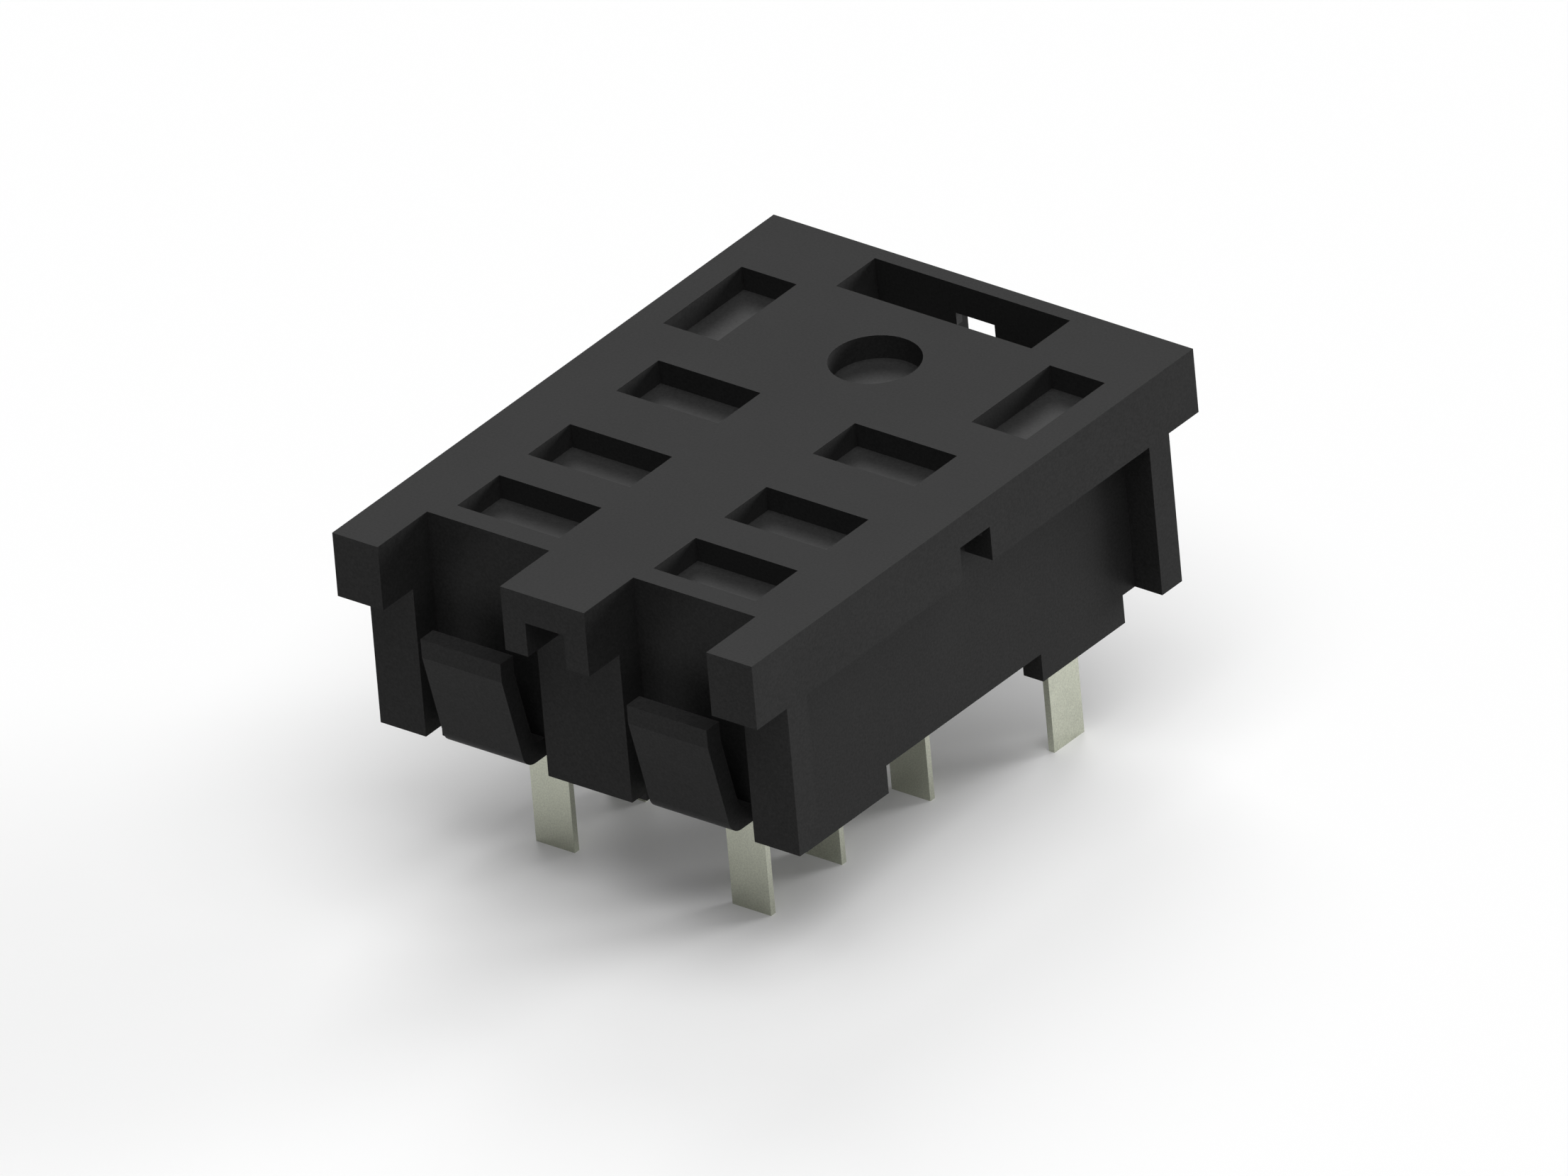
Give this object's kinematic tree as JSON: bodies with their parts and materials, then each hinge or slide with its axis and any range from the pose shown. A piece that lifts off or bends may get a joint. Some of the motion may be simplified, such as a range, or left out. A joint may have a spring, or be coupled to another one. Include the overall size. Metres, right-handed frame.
{
  "type": "relay socket",
  "caption": "Rectangular snap-in relay socket: cover plate with blade pockets, housing with flange, sprung panel latches and posts, flat solder tails for a printed board.",
  "frame": {"origin": "under the middle of the flange, on the plane of the tail tips", "axes": "+X across the socket, +Y along it from the pair of small latches to the wide one, +Z out of the face that takes the relay"},
  "size_m": [0.0218, 0.0296, 0.016],
  "materials": {
    "cover_moulding": "black moulded plastic, matt with a fine grain",
    "housing_moulding": "black moulded plastic, matt with a fine grain",
    "contact_metal": "matt tin plate over brass strip"
  },
  "bodies": {
    "root": {"top_cover": "cover_moulding", "latch_housing": "housing_moulding", "contact_nc_left": "contact_metal", "contact_no_left": "contact_metal", "contact_com_left": "contact_metal", "contact_coil_left": "contact_metal", "contact_nc_right": "contact_metal", "contact_no_right": "contact_metal", "contact_com_right": "contact_metal", "contact_coil_right": "contact_metal"}
  },
  "joints": []
}
